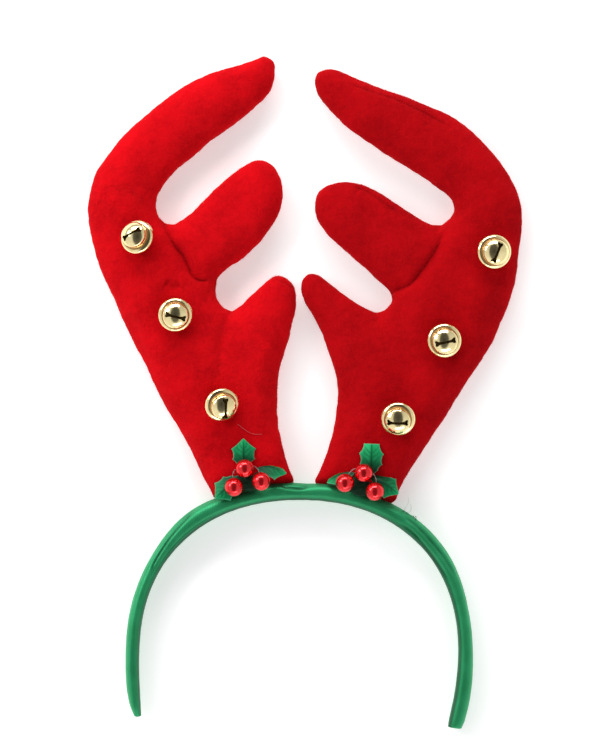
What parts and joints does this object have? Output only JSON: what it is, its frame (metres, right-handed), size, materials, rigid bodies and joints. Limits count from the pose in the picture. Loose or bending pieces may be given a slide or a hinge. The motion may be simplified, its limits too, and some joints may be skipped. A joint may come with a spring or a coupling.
{
  "type": "reindeer antler headband",
  "caption": "Padded satin headband that carries stuffed felt reindeer antlers with jingle bells and holly sprigs, worn over the head as a costume.",
  "frame": {"origin": "on the surface that the headband lies on, under the middle of the whole", "axes": "+X across the band towards the viewer's right, +Y from the band's legs to the antlers' tips, +Z out of the surface, towards the bells and the holly"},
  "size_m": [0.1904, 0.2968, 0.0266],
  "materials": {
    "red_felt": "brushed fleece felt",
    "green_satin": "satin",
    "gold_metal": "polished",
    "green_leaf": "embossed satin",
    "red_berry": "metallised gloss",
    "stem_wire": "bright wire"
  },
  "bodies": {
    "root": {"antler_left": "red_felt", "antler_right": "red_felt", "band": "green_satin", "bell_left_lower": "gold_metal", "bell_left_middle": "gold_metal", "bell_left_upper": "gold_metal", "bell_right_lower": "gold_metal", "bell_right_middle": "gold_metal", "bell_right_upper": "gold_metal", "berry_left_inner": "red_berry", "berry_left_outer": "red_berry", "berry_left_top": "red_berry", "berry_right_inner": "red_berry", "berry_right_outer": "red_berry", "berry_right_top": "red_berry", "leaf_left_inner": "green_leaf", "leaf_left_outer": "green_leaf", "leaf_left_top": "green_leaf", "leaf_right_inner": "green_leaf", "leaf_right_outer": "green_leaf", "leaf_right_top": "green_leaf", "stem_left_inner": "stem_wire", "stem_left_outer": "stem_wire", "stem_right_inner": "stem_wire", "stem_right_outer": "stem_wire"}
  },
  "joints": []
}
